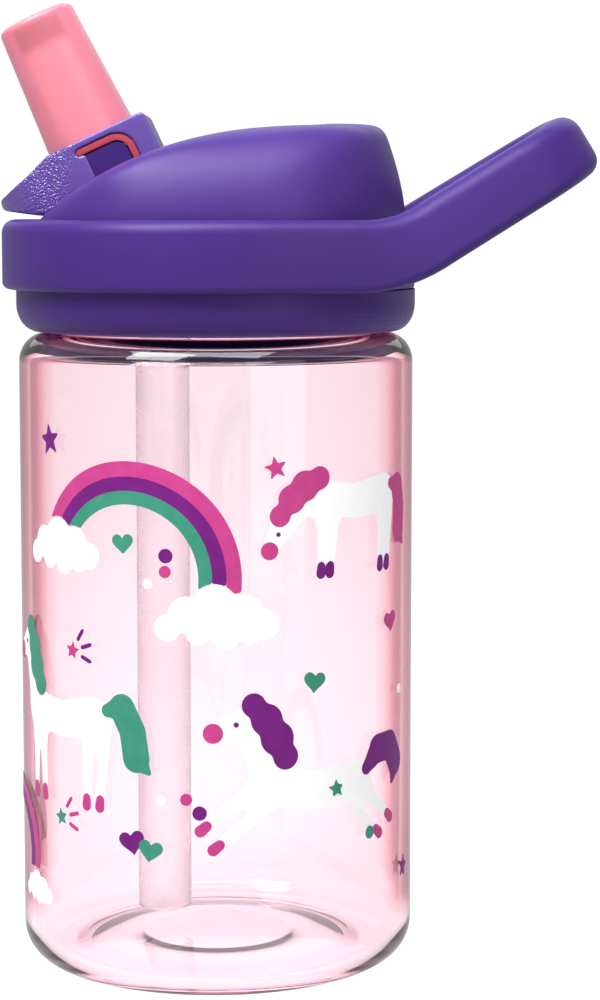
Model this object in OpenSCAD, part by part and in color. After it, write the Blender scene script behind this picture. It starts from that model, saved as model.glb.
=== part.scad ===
// Kids water bottle: clear bottle, screw lid with a carry loop, and a flip-up bite valve on a straw.
// Millimetres. +Z is up, and the origin is the centre of the base. The carry loop points along +X
// and the thumb tab of the flip-up spout along -X.

/* [Bottle] */
// Outer radius of the barrel
body_r = 36.5; // [36.3:0.1:36.7]
// Height of the shoulder, where the neck begins
shoulder_z = 117.5; // [100:0.5:130]
// Wall thickness of the bottle
wall = 2.0; // [1.6:0.1:2.2]
// Radius of the rounded corner at the foot
foot_corner_r = 7; // [5:0.5:9]
// Height that the middle of the base is pushed up
push_up = 3; // [2:0.5:4]

/* [Neck and thread] */
// Outer radius of the neck
neck_r = 30.3; // [30.2:0.05:30.4]
// Height of the neck above the shoulder
neck_h = 15.1; // [14.8:0.1:15.1]
// Thread pitch
pitch = 4; // [3.6:0.1:4.4]
// Turns of thread on the neck and in the lid
thread_turns = 1.5; // [1:0.25:1.5]

/* [Lid] */
// Gap between the shoulder and the lower edge of the lid
lid_gap = 0.4; // [0.3:0.1:0.8]
// Radius of the lid's lower skirt
skirt_r = 36.9; // [36.7:0.1:37.5]
// Outer radius of the ring that carries the loop
ring_r = 39.4; // [39:0.1:40]
// Height of the ring
ring_h = 12.7; // [12.5:0.1:13]
// Height of the dome above the lid's lower edge
dome_h = 37.7; // [36:0.1:39]

/* [Carry loop] */
// Angle at which the loop rises
loop_tilt = 31.4; // [25:0.2:35]
// Length of the loop, from the lid's axis to its far end, measured along the strap
loop_reach = 73.1; // [66:0.1:74]
// Thickness of the strap
strap_t = 6.2; // [5:0.1:7]
// Height of the strap's cross-section on the slope
strap_h = 11.9; // [11:0.1:12.4]
// Angle at which the two arms close in towards the far end
arm_toe_in = 15.6; // [13:0.2:18]

/* [Spout] */
// Lean of the raised bite valve from upright
valve_lean = 25; // [20:1:28]
// Length of the mouthpiece above its carrier
valve_l = 24.4; // [20:0.1:26]
// Half width of the flip-up carrier
pod_half_w = 11.5; // [11:0.1:11.5]
// Radius of the drum that the spout turns on
drum_r = 5.5; // [5.3:0.1:5.6]

/* [Straw] */
// Outer radius of the straw
straw_r = 5; // [4.6:0.1:5.4]
// Height of the straw's lower end above the table
straw_end_z = 9; // [7:1:20]

/* [Hidden] */
$fn = 96;
eps = 0.01;

bottle_pink = [1, 0.75, 0.82, 0.35];
lid_purple = "#4b3088";
drum_purple = "#33206b";
valve_pink = "#f4929c";
seal_white = "#e8e4e6";
straw_clear = [0.9, 0.88, 0.9, 0.5];

// Bottle
barrel_top_z = shoulder_z - 5.3;
shoulder_in = 4.9;
foot_flat_w = 2.5;
neck_in_r = neck_r - 2.2;
neck_top_z = shoulder_z + neck_h;

// Threads
thread_root_w = 1.9;
thread_crest_w = 1.1;
neck_thread_r = neck_r + 1.5;
thread_z = shoulder_z + 4;
cup_in_r = neck_r + 2;
lid_thread_r = neck_r + 0.6;
thread_embed = 0.7;
segments_per_turn = 20;

// Lid heights, above the lid's lower edge
lid_z = shoulder_z + lid_gap;
skirt_h = 7.7;
skirt_corner = [3.7, 5];
cup_r = 35.1;
deck_z = 16.5;
deck_top_z = 18.9;
ring_top_z = skirt_h + ring_h;
ring_in_r = cup_r + 0.15;
seal_in_r = neck_in_r - 0.1;
seal_out_r = cup_in_r - 0.3;
seal_bottom_z = neck_top_z - lid_z;
locator_r = [26.3, 27.7];
locator_h = 4;

// Carry loop: where the strap's centre line leaves the ring, its far corners and its bend upwards
loop_c_r = ring_r - strap_t / 2;
corner_r = 14;
arm_start = [loop_c_r * sin(arm_toe_in), loop_c_r * cos(arm_toe_in)];
bar_x = loop_reach - strap_t / 2;
corner_y = arm_start[1] - (bar_x - arm_start[0]) * tan(arm_toe_in);
corner_len = corner_r * tan((90 - arm_toe_in) / 2);
corner_c = [bar_x - corner_r, corner_y - corner_len];
arm_end_x = bar_x - corner_len * cos(arm_toe_in);
bend_x = 26.2;
bend_r = 24;
strap_z = skirt_h + ring_h / 2;

// Dome
dome_wall = 2.2;
dome_base_r = cup_r;
dome_side_y = 14;
channel_half_w = pod_half_w + 0.7;
channel_end_x = 21;
channel_corner_r = 5;
channel_floor_z = 20.5;
open_deck_x = -2;
deck_pocket = 1.4;

// Spout axis, as [x, height above the lid's lower edge]
pivot = [-16, 26.3];
trunnion_r = 2;
trunnion_clear = 0.05;
trunnion_end_y = pod_half_w + 2.5;
boss_r = 3.5;

// Spout, measured from its axis: u runs across the carrier and v along the mouthpiece
pod_wall = 2.2;
pod_top_v = 11;
pod_seat_v = 9.7;
window_u = [-5.6, 5];
window_low_v = 3;
arch_t = 1.6;
drum_half_w = 7;
core_half_w = pod_half_w - 0.3;
spigot_u = -2.4;
spigot_r = 4.4;
spigot_bore_r = 2.8;
valve_base = [8.4, 9.6];
valve_tip = [7.1, 8.6];
valve_tip_u = -2;
valve_wall = 2.4;
fit = 0.05;

// Drinking port and straw
port_angle = -100;
port_r = 4.2;
port_bore_r = 2;
port_seal_r = 3.2;
port_seal_clear = 0.25;
port_top = 6.3;
port_seat = 9;
straw_x = -10;
straw_wall = 0.9;
nipple_r = straw_r - straw_wall - 0.05;
nipple_z = [2.5, 10.5];
vent_at = [6, 19.2];
vent_r = 1.5;

// Points on an arc about c, from angle a to angle b; rx and ry are its radii
function arc(c, rx, ry, a, b, n = 8) =
    [for (i = [0:n]) let (t = a + (b - a) * i / n) [c[0] + rx * cos(t), c[1] + ry * sin(t)]];

function mirrored_x(points) = [for (p = points) [-p[0], p[1]]];

function reversed(points) = [for (i = [len(points) - 1:-1:0]) points[i]];

// Closed tube of triangles through rings of points, with flat ends
module skin(rings) {
    n = len(rings[0]);
    m = len(rings);
    sides = [for (i = [0:m - 2], j = [0:n - 1]) let (k = (j + 1) % n)
        each [[i * n + j, (i + 1) * n + j, (i + 1) * n + k], [i * n + j, (i + 1) * n + k, i * n + k]]];
    first = [for (j = [0:n - 1]) j];
    last = [for (j = [n - 1:-1:0]) (m - 1) * n + j];
    polyhedron(points = [for (ring = rings) each ring], faces = concat(sides, [first], [last]));
}

// Helical rib; r is the crest radius and root_r the radius that it is buried to
module thread(r, root_r, z) {
    n = segments_per_turn * thread_turns;
    skin([for (i = [0:n]) let (a = 360 * i / segments_per_turn, h = z + pitch * i / segments_per_turn)
        let (s = sign(r - root_r))
        [for (p = [[root_r, s * thread_root_w], [r, s * thread_crest_w],
                   [r, -s * thread_crest_w], [root_r, -s * thread_root_w]])
            [p[0] * cos(a), p[0] * sin(a), h + p[1] / 2]]]);
}

// Places children in the raised spout's frame: x across it, y along the mouthpiece, z along the axle
module spout_frame() {
    translate([pivot[0], 0, lid_z + pivot[1]]) rotate([0, -valve_lean, 0]) rotate([90, 0, 0])
        children();
}

module slab(half_w) {
    translate([0, 0, -half_w]) linear_extrude(2 * half_w) children();
}

module bottle_outline() {
    foot_r = body_r - foot_corner_r;
    polygon(concat(
        [[0, push_up], [foot_r - foot_flat_w - 6, push_up - 1], [foot_r - foot_flat_w, 0]],
        arc([foot_r, foot_corner_r], foot_corner_r, foot_corner_r, -90, 0),
        arc([body_r - shoulder_in, barrel_top_z], shoulder_in, shoulder_z - barrel_top_z, 0, 90),
        [[neck_r, shoulder_z + 0.2], [neck_r, neck_top_z - 0.4], [neck_r - 0.4, neck_top_z],
         [0, neck_top_z]]));
}

module bottle_hollow() {
    corner = foot_corner_r - wall;
    inner_r = body_r - wall;
    polygon(concat(
        [[0, push_up + wall], [inner_r - corner - 6, push_up + wall - 0.7]],
        arc([inner_r - corner, wall + corner + 0.6], corner, corner, -90, 0),
        arc([inner_r - shoulder_in, barrel_top_z], shoulder_in, shoulder_z - barrel_top_z - wall, 0, 80),
        [[neck_in_r, shoulder_z - 0.6], [neck_in_r, neck_top_z + 1], [0, neck_top_z + 1]]));
}

module bottle_body() {
    color(bottle_pink) {
        difference() {
            rotate_extrude() bottle_outline();
            rotate_extrude() bottle_hollow();
        }
        thread(neck_thread_r, neck_r - thread_embed, thread_z);
    }
}

module cup_outline() {
    polygon(concat(
        [[cup_in_r, 0]],
        arc([skirt_r - skirt_corner[0], skirt_corner[1]], skirt_corner[0], skirt_corner[1], -90, 0),
        [[skirt_r, skirt_h], [cup_r, skirt_h], [cup_r, deck_top_z], [0, deck_top_z], [0, deck_z],
         [locator_r[0], deck_z], [locator_r[0], deck_z - locator_h], [locator_r[1], deck_z - locator_h],
         [locator_r[1], deck_z], [cup_in_r, deck_z]]));
}

// Places children on the drinking port's axis: z runs from the spout's axis down to the deck
module port_frame() {
    translate([pivot[0], 0, pivot[1]]) rotate([0, 90 - port_angle, 0]) children();
}

// Block under the deck that joins the drinking port to the straw's nipple
module port_block() {
    for (x = [pivot[0] - 1.5, straw_x])
        translate([x, 0, nipple_z[1]]) cylinder(r = 5.2, h = deck_z - nipple_z[1] + eps);
    translate([pivot[0] - 1.5, -5.2, nipple_z[1]])
        cube([straw_x - pivot[0] + 1.5, 10.4, deck_z - nipple_z[1] + eps]);
}

module cap_base() {
    pocket_x = -29;
    color(lid_purple) translate([0, 0, lid_z]) {
        difference() {
            union() {
                difference() {
                    rotate_extrude() cup_outline();
                    translate([pocket_x, -channel_half_w, deck_top_z - deck_pocket])
                        cube([open_deck_x - pocket_x, 2 * channel_half_w, 5]);
                }
                port_block();
                translate([straw_x, 0, nipple_z[0]]) cylinder(r = nipple_r, h = deck_z - nipple_z[0]);
                intersection() {
                    port_frame() translate([0, 0, port_top]) cylinder(r = port_r, h = 8);
                    translate([-40, -20, deck_z]) cube([40, 40, 10]);
                }
            }
            port_frame() cylinder(r = port_bore_r, h = 14);
            port_frame() cylinder(r = port_seal_r + fit, h = port_seat);
            translate([pivot[0] - 4, 0, deck_z - 3]) rotate([0, 90, 0])
                cylinder(r = port_bore_r, h = straw_x - pivot[0] + 4);
            translate([straw_x, 0, 0]) cylinder(r = spigot_bore_r, h = deck_z - 2);
            translate([vent_at[0], vent_at[1], deck_z - 1]) cylinder(r = vent_r, h = 5);
            for (x = [-3.4, 3.4])
                translate([vent_at[0] + x, vent_at[1], deck_z - 1]) cylinder(r = 0.9, h = 5);
        }
        thread(lid_thread_r, cup_in_r + thread_embed, thread_z - lid_z - pitch / 2);
    }
}

module lid_seal() {
    color(seal_white) translate([0, 0, lid_z + seal_bottom_z]) difference() {
        cylinder(r = seal_out_r, h = deck_z - seal_bottom_z);
        translate([0, 0, -1]) cylinder(r = seal_in_r, h = 5);
    }
}

// The strap's centre line in plan, as [x, y, direction angle], from the ring to the far end's middle
half_path = concat(
    [for (a = [112:-7:arm_toe_in + 70]) [loop_c_r * cos(a), loop_c_r * sin(a), a - 90]],
    [for (i = [0:8]) let (x = arm_start[0] + (arm_end_x - arm_start[0]) * i / 8)
        [x, arm_start[1] - (x - arm_start[0]) * tan(arm_toe_in), -arm_toe_in]],
    [for (i = [1:6]) let (a = (90 - arm_toe_in) * (1 - i / 6))
        [corner_c[0] + corner_r * cos(a), corner_c[1] + corner_r * sin(a), a - 90]]);
loop_path = concat(half_path, reversed([for (p = half_path) [p[0], -p[1], -180 - p[2]]]));

// The strap runs level from the ring, then turns up through loop_tilt on a radius of bend_r
function tilt_at(x) = max(0, min(loop_tilt, (x - bend_x) / bend_r * 180 / PI));
function strap_at(x) =
    let (a = tilt_at(x), rest = max(0, x - bend_x - bend_r * loop_tilt * PI / 180))
    x < bend_x ? [x, strap_z]
               : [bend_x + bend_r * sin(a) + rest * cos(a), strap_z + bend_r * (1 - cos(a)) + rest * sin(a)];

// Rounded rectangle of the strap's section, as [across, up] in halves of its thickness and height
function strap_section(t, h, r = 2.2, n = 3) = concat(
    arc([t / 2 - r, h / 2 - r], r, r, 0, 90, n), arc([r - t / 2, h / 2 - r], r, r, 90, 180, n),
    arc([r - t / 2, r - h / 2], r, r, 180, 270, n), arc([t / 2 - r, r - h / 2], r, r, 270, 360, n));

function strap_ring(p) = let (
    part = tilt_at(p[0]) / loop_tilt, h = ring_h * (1 - part) + strap_h * part - 0.2 * (1 - part))
    [for (q = strap_section(strap_t, h)) let (
        x = p[0] - q[0] * sin(p[2]), y = p[1] + q[0] * cos(p[2]), a = tilt_at(x), c = strap_at(x))
        [c[0] - q[1] * sin(a), y, c[1] + q[1] * cos(a)]];

module ring_outline() {
    polygon(concat(
        [[0, skirt_h]],
        arc([ring_r - 1.4, skirt_h + 1.3], 1.3, 1.3, -90, 0, 4),
        arc([ring_r - 2.7, ring_top_z - 2.6], 2.4, 2.6, 0, 90, 6),
        [[0, ring_top_z]]));
}

// Between the arms the ring is only as wide as the skirt below it
module between_arms() {
    a = arm_toe_in + 54;
    far = 60;
    linear_extrude(40)
        polygon([[0, 0], far * [cos(a), sin(a)], [far, far], [far, -far], far * [cos(a), -sin(a)]]);
}

module carry_ring() {
    color(lid_purple) translate([0, 0, lid_z]) difference() {
        union() {
            difference() {
                rotate_extrude() ring_outline();
                difference() {
                    between_arms();
                    cylinder(r = skirt_r - 0.1, h = 40);
                }
            }
            skin([for (p = loop_path) strap_ring(p)]);
        }
        translate([0, 0, skirt_h - 1]) cylinder(r = ring_in_r, h = ring_h + 2);
    }
}

// Side view of the dome: a long rise from the tab side to a steep rear wall
module dome_side_view(inset) {
    left_x = -30.8;
    crest_x = 24;
    rise = 16.6;
    polygon(concat(
        [[-dome_base_r - 1, deck_top_z - 1], [-dome_base_r - 1, dome_h - rise - inset]],
        [for (i = [0:12]) let (x = left_x + (crest_x - left_x) * i / 12)
            [x, dome_h - inset - rise * pow((crest_x - x) / (crest_x - left_x), 2.5)]],
        [[dome_base_r, dome_h - inset], [dome_base_r, deck_top_z - 1]]));
}

// View along the loop: both flanks round over towards the channel
module dome_end_view(inset) {
    base_z = ring_top_z - 0.6;
    flank = [dome_base_r - dome_side_y - inset, dome_h - base_z - inset + 0.3];
    right = concat([[dome_side_y + flank[0], deck_top_z - 1]],
                   arc([dome_side_y, base_z], flank[0], flank[1], 0, 90, 12));
    polygon(concat(right, reversed(mirrored_x(right))));
}

module dome_profile(inset) {
    wall_h = 14.4;
    top_corner = 3.1;
    foot = [[dome_base_r - inset, deck_top_z - 1], [dome_base_r - inset, ring_top_z]];
    rear = [for (i = [0:6]) let (t = i / 6)
        [dome_base_r - 0.1 - inset - 3.2 * pow(t, 1.6), ring_top_z + wall_h * t]];
    polygon(concat(
        [[0, deck_top_z - 1]], foot, rear,
        arc([rear[6][0] - top_corner, dome_h - top_corner - inset], top_corner - 0.4, top_corner, 0, 90, 5),
        [[0, dome_h - inset]]));
}

module dome_solid(inset) {
    intersection() {
        rotate_extrude() dome_profile(inset);
        rotate([90, 0, 0]) slab(dome_base_r + 1) dome_side_view(inset);
        rotate([90, 0, 90]) slab(dome_base_r + 1) dome_end_view(inset);
    }
}

module channel(half_w, end_x, floor_z) {
    r = channel_corner_r;
    translate([-50, -half_w, floor_z]) cube([50 + end_x - r, 2 * half_w, 40]);
    translate([0, r - half_w, floor_z]) cube([end_x, 2 * (half_w - r), 40]);
    for (s = [-1, 1])
        translate([end_x - r, s * (half_w - r), floor_z]) cylinder(r = r, h = 40);
}

module cap_dome() {
    color(lid_purple) translate([0, 0, lid_z]) difference() {
        union() {
            difference() {
                dome_solid(0);
                difference() {
                    dome_solid(dome_wall);
                    channel(channel_half_w + dome_wall, channel_end_x + dome_wall, channel_floor_z - 1.6);
                }
            }
            for (s = [-1, 1])
                translate([pivot[0], s * (channel_half_w + 2), pivot[1]]) rotate([90, 0, 0])
                    cylinder(r = boss_r, h = 3.6, center = true);
        }
        channel(channel_half_w, channel_end_x, channel_floor_z);
        translate([-dome_base_r - 2, -channel_half_w, deck_top_z - 2])
            cube([dome_base_r + 2 + open_deck_x, 2 * channel_half_w, 20]);
        translate([-50, -50, deck_top_z - 10]) cube([100, 100, 10]);
        translate([pivot[0], 0, pivot[1]]) rotate([90, 0, 0])
            cylinder(r = trunnion_r + trunnion_clear, h = 2 * (trunnion_end_y + 0.3), center = true);
    }
}

module port_seal() {
    color(seal_white) translate([0, 0, lid_z]) difference() {
        port_frame() translate([0, 0, drum_r - 1]) cylinder(r = port_seal_r, h = port_seat - drum_r + 1);
        port_frame() cylinder(r = port_bore_r, h = 20);
        translate([pivot[0], 0, pivot[1]]) rotate([90, 0, 0])
            cylinder(r = drum_r + port_seal_clear, h = 20, center = true);
    }
}

module vent_valve() {
    color(seal_white) translate([vent_at[0], vent_at[1], lid_z]) {
        translate([0, 0, deck_z]) cylinder(r = vent_r - fit, h = deck_top_z - deck_z);
        translate([0, 0, deck_z - 0.8]) cylinder(r1 = 4.8, r2 = 5.2, h = 0.8);
        translate([0, 0, deck_top_z]) cylinder(r1 = 2.2, r2 = 1, h = 1.8);
    }
}

module straw() {
    top_z = lid_z + nipple_z[1] - 0.2;
    color(straw_clear) translate([straw_x, 0, straw_end_z]) difference() {
        cylinder(r = straw_r, h = top_z - straw_end_z);
        translate([0, 0, -1]) cylinder(r = straw_r - straw_wall, h = top_z - straw_end_z + 2);
    }
}

// Side outline of the carrier, in the spout's frame
module pod_outline() {
    polygon(concat(
        [[-10.4, pod_top_v], [-15.2, 9.2], [-21.4, 7.5]],
        arc([-21.5, 6.5], 0.9, 0.9, 100, 230, 4),
        [[-16.2, 1.8]],
        arc([0, 0], 7.9, 7.9, 200, 350, 12),
        [[8.5, 2.6], [8.7, 4]],
        arc([7.8, pod_top_v - 0.9], 0.9, 0.9, 0, 90, 3)));
}

// Hollow under the carrier's top, open towards the deck
module pod_hollow() {
    polygon([[-8.2, pod_seat_v], [-13.2, 7.4], [-16.2, 4.2], [-17, -9], [12, -9], [12, 2.4], [7.2, 2.4],
             [7.2, pod_seat_v]]);
}

// Arched window in the carrier's sides; inset shrinks it by one layer
module window(inset) {
    r = 3.8 - inset;
    left = window_u[0] + inset;
    right = window_u[1] - inset;
    top = pod_seat_v - inset;
    polygon(concat(
        [[left, window_low_v], [right, window_low_v]],
        arc([right - r, top - r], r, r, 0, 90, 6),
        [[left, top]]));
}

module flip_pod() {
    color(lid_purple) spout_frame() difference() {
        slab(pod_half_w) pod_outline();
        slab(pod_half_w - pod_wall) pod_hollow();
        slab(pod_half_w + 1) window(0);
        translate([spigot_u, 0, 0]) rotate([-90, 0, 0]) cylinder(r = spigot_r + 1.8, h = 14);
        cylinder(r = trunnion_r + fit, h = 3 * pod_half_w, center = true);
    }
}

module pivot_drum() {
    color(drum_purple) spout_frame() difference() {
        union() {
            cylinder(r = drum_r, h = 2 * drum_half_w, center = true);
            slab(core_half_w) window(arch_t);
            cylinder(r = trunnion_r, h = 2 * trunnion_end_y, center = true);
            translate([spigot_u, 4, 0]) rotate([-90, 0, 0]) cylinder(r = spigot_r, h = pod_top_v);
        }
        translate([spigot_u, 0, 0]) rotate([-90, 0, 0]) cylinder(r = spigot_bore_r, h = 20);
        rotate([0, 0, port_angle - valve_lean]) rotate([0, 90, 0]) cylinder(r = port_bore_r, h = 12);
    }
}

// Oval of half widths s at the place p along the mouthpiece
module valve_oval(p, s, r = 1.2) {
    translate([p[0], p[1], 0]) rotate([90, 0, 0]) linear_extrude(eps, center = true)
        scale([s[0] / s[1], 1]) circle(r = s[1] - r, $fn = 32);
}

module valve_body(inset, low, high) {
    base = valve_base - [inset, inset];
    tip = valve_tip - [inset, inset];
    round_top = max(0.6, 1.8 - inset);
    hull() {
        valve_oval([spigot_u, low], base, 0);
        valve_oval([valve_tip_u, high - round_top], tip, 0);
        valve_oval([valve_tip_u, high], tip, round_top);
    }
}

module bite_valve() {
    top_v = pod_top_v + valve_l;
    color(valve_pink) spout_frame() difference() {
        union() {
            valve_body(0, pod_top_v + eps, top_v);
            translate([spigot_u, pod_seat_v - 1, 0]) rotate([-90, 0, 0])
                cylinder(r = spigot_r + 1.7, h = 4);
            difference() {
                slab(core_half_w) window(fit);
                slab(core_half_w + 1) window(arch_t - fit);
                cylinder(r = drum_r + fit, h = 2 * (drum_half_w + fit), center = true);
            }
        }
        translate([spigot_u, 0, 0]) rotate([-90, 0, 0]) cylinder(r = spigot_r + fit, h = pod_top_v + 4.5);
        valve_body(valve_wall, pod_top_v + 4, top_v - 3);
        translate([valve_tip_u - 0.2, top_v - 4, -4]) cube([0.4, 5, 8]);
    }
}

bottle_body();
cap_base();
lid_seal();
carry_ring();
cap_dome();
port_seal();
vent_valve();
straw();
flip_pod();
pivot_drum();
bite_valve();
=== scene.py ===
import math

import bmesh
import bpy
import numpy as np
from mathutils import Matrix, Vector


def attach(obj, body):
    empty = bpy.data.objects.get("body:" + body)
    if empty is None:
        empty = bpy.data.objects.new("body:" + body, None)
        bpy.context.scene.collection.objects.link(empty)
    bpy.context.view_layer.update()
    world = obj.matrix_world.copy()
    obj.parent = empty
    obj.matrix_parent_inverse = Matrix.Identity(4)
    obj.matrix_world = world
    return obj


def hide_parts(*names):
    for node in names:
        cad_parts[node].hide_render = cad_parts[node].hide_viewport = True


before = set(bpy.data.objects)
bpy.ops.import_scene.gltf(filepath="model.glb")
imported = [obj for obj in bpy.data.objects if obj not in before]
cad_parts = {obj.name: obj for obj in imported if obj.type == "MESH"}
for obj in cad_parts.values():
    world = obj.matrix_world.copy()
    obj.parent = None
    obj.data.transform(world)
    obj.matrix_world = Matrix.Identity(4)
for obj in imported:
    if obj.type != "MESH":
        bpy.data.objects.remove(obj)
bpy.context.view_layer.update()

# Lengths below are millimetres, and MM turns them into metres.
MM = 0.001
TAU = 2 * math.pi

# The bottle
BARREL_R = 36.5
SHOULDER_Z = 117.5
NECK_R = 30.3
NECK_TOP_Z = 132.6
NECK_BORE_R = 28.1
THREAD_PITCH = 4
THREAD_TURNS = 1.5

# The lid
LID_Z = 117.9
DECK_TOP_Z = LID_Z + 18.9
RING_LOW_Z = LID_Z + 7.7
RING_H = 12.7
RING_TOP_Z = RING_LOW_Z + RING_H
RING_R = 39.4
RING_BORE_R = 35.25
DOME_R = 35.1
DOME_TOP_Z = LID_Z + 37.7
CHANNEL_HALF_W = 12.2

# The carry loop's strap
STRAP_T = 6.2
STRAP_H = 11.9
STRAP_C_R = RING_R - STRAP_T / 2
TOE_IN = math.radians(15.6)
LOOP_REACH = 73.1
LOOP_CORNER_R = 14
LOOP_TILT = math.radians(31.4)
BEND_X = 26.2
BEND_R = 24

# The spout: its axis, and its lean when it is up
PIVOT_X = -16
PIVOT_Z = 144.2
LEAN = math.radians(25)
POD_HALF_W = 11.5
CORE_HALF_W = 11.2


# ---------------------------------------------------------------- camera and stage

CAMERA_AT = (15.6, -500.0, 140.2)
CAMERA_PITCH = 6.18
CAMERA_LENS = 96.75
CAMERA_SENSOR = 36
FLOOR_SIZE_M = 6

# How bright the floor and the world look, and the light that each of them casts
FLOOR_SEEN = 0.9
WORLD_SEEN = 1.03
STAGE_CAST = 0.42


def add_camera():
    bpy.ops.object.camera_add(location=[c * MM for c in CAMERA_AT],
                              rotation=(math.radians(90 - CAMERA_PITCH), 0, 0))
    camera = bpy.context.object
    camera.name = "camera"
    camera.data.sensor_width = CAMERA_SENSOR
    camera.data.lens = CAMERA_LENS
    camera.data.clip_start = 0.01
    bpy.context.scene.camera = camera


def add_floor():
    bpy.ops.mesh.primitive_plane_add(size=FLOOR_SIZE_M, location=(0, 0, 0))
    floor = bpy.context.object
    floor.name = "floor"
    floor.data.materials.append(studio_floor())


def add_light(name, at, target, size, power):
    """A softbox at a place, aimed at a target, with its width and height, and its power in watts."""
    bpy.ops.object.light_add(type="AREA", location=[c * MM for c in at])
    light = bpy.context.object
    light.name = name
    aim = Vector(target) * MM - Vector(at) * MM
    light.rotation_euler = aim.to_track_quat("-Z", "Y").to_euler()
    light.data.shape = "RECTANGLE"
    light.data.size = size[0] * MM
    light.data.size_y = size[1] * MM
    light.data.energy = power
    light.visible_camera = False


# ---------------------------------------------------------------- materials

POLYPROPYLENE_IOR = 1.49
SILICONE_IOR = 1.41


def srgb(code):
    """An sRGB hex colour as linear red, green, blue and alpha."""
    parts = [int(code[i:i + 2], 16) / 255 for i in (1, 3, 5)]
    return [c / 12.92 if c <= 0.04045 else ((c + 0.055) / 1.055) ** 2.4 for c in parts] + [1]


def new_material(name):
    material = bpy.data.materials.new(name)
    material.use_nodes = True
    return material, material.node_tree, material.node_tree.nodes["Principled BSDF"]


def node(tree, kind, settings=None, links=None, **inputs):
    """Adds one node, with its settings, its input values and its links from other nodes' outputs."""
    made = tree.nodes.new(kind)
    for key, value in (settings or {}).items():
        setattr(made, key, value)
    for key, value in inputs.items():
        made.inputs[key.replace("_", " ")].default_value = value
    for key, source in (links or {}).items():
        tree.links.new(source, made.inputs[key])
    return made


def two_tones(tree, source, dark, light, low=0.35, high=0.7):
    """A colour that goes from dark to light as source goes from low to high."""
    ramp = node(tree, "ShaderNodeValToRGB", links={"Fac": source})
    ends = ramp.color_ramp.elements
    ends[0].color, ends[0].position = srgb(dark), low
    ends[1].color, ends[1].position = srgb(light), high
    return ramp.outputs["Color"]


def seen_level(tree, cast, seen):
    """A light level by the kind of ray: seen is how bright a thing looks, straight on or through clear
    plastic, and cast is the light it gives to the rest. On a real stage the two are the same."""
    path = node(tree, "ShaderNodeLightPath")
    direct = node(tree, "ShaderNodeMath", {"operation": "MAXIMUM"},
                  {0: path.outputs["Is Camera Ray"], 1: path.outputs["Is Transmission Ray"]})
    level = node(tree, "ShaderNodeMapRange", links={"Value": direct.outputs["Value"]}, To_Min=cast, To_Max=seen)
    return level.outputs["Result"]


def studio_floor():
    """Opal acrylic light table, lit from below: it looks pale and almost even, with a faint mottle. It
    shows brighter than the light it casts, which a real one can't."""
    material, tree, shader = new_material("opal_acrylic_table")
    place = node(tree, "ShaderNodeTexCoord").outputs["Object"]
    mottle = node(tree, "ShaderNodeTexNoise", links={"Vector": place}, Scale=3, Detail=2)
    tree.links.new(two_tones(tree, mottle.outputs["Fac"], "#828082", "#868486"),
                   shader.inputs["Base Color"])
    shader.inputs["Roughness"].default_value = 0.7
    shader.inputs["Emission Color"].default_value = (1, 1, 1, 1)
    tree.links.new(seen_level(tree, STAGE_CAST, FLOOR_SEEN), shader.inputs["Emission Strength"])
    return material


def moulded_polypropylene(name, dark, light, grain_mm, relief_mm, roughness):
    """Injection-moulded polypropylene: a fine spark-eroded mould grain under a soft, waxy sheen."""
    material, tree, shader = new_material(name)
    place = node(tree, "ShaderNodeTexCoord").outputs["Object"]
    flow = node(tree, "ShaderNodeTexNoise", links={"Vector": place}, Scale=45, Detail=3)
    grain = node(tree, "ShaderNodeTexNoise", links={"Vector": place},
                 Scale=1 / (grain_mm * MM), Detail=3, Roughness=0.6)
    gloss = node(tree, "ShaderNodeMapRange", links={"Value": grain.outputs["Fac"]},
                 From_Min=0.3, From_Max=0.7, To_Min=roughness - 0.05, To_Max=roughness + 0.08)
    relief = node(tree, "ShaderNodeBump", links={"Height": grain.outputs["Fac"]},
                  Strength=0.5, Distance=relief_mm * MM)
    tree.links.new(two_tones(tree, flow.outputs["Fac"], dark, light), shader.inputs["Base Color"])
    tree.links.new(gloss.outputs["Result"], shader.inputs["Roughness"])
    tree.links.new(relief.outputs["Normal"], shader.inputs["Normal"])
    shader.inputs["IOR"].default_value = POLYPROPYLENE_IOR
    shader.inputs["Specular IOR Level"].default_value = 0.28
    return material


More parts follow.
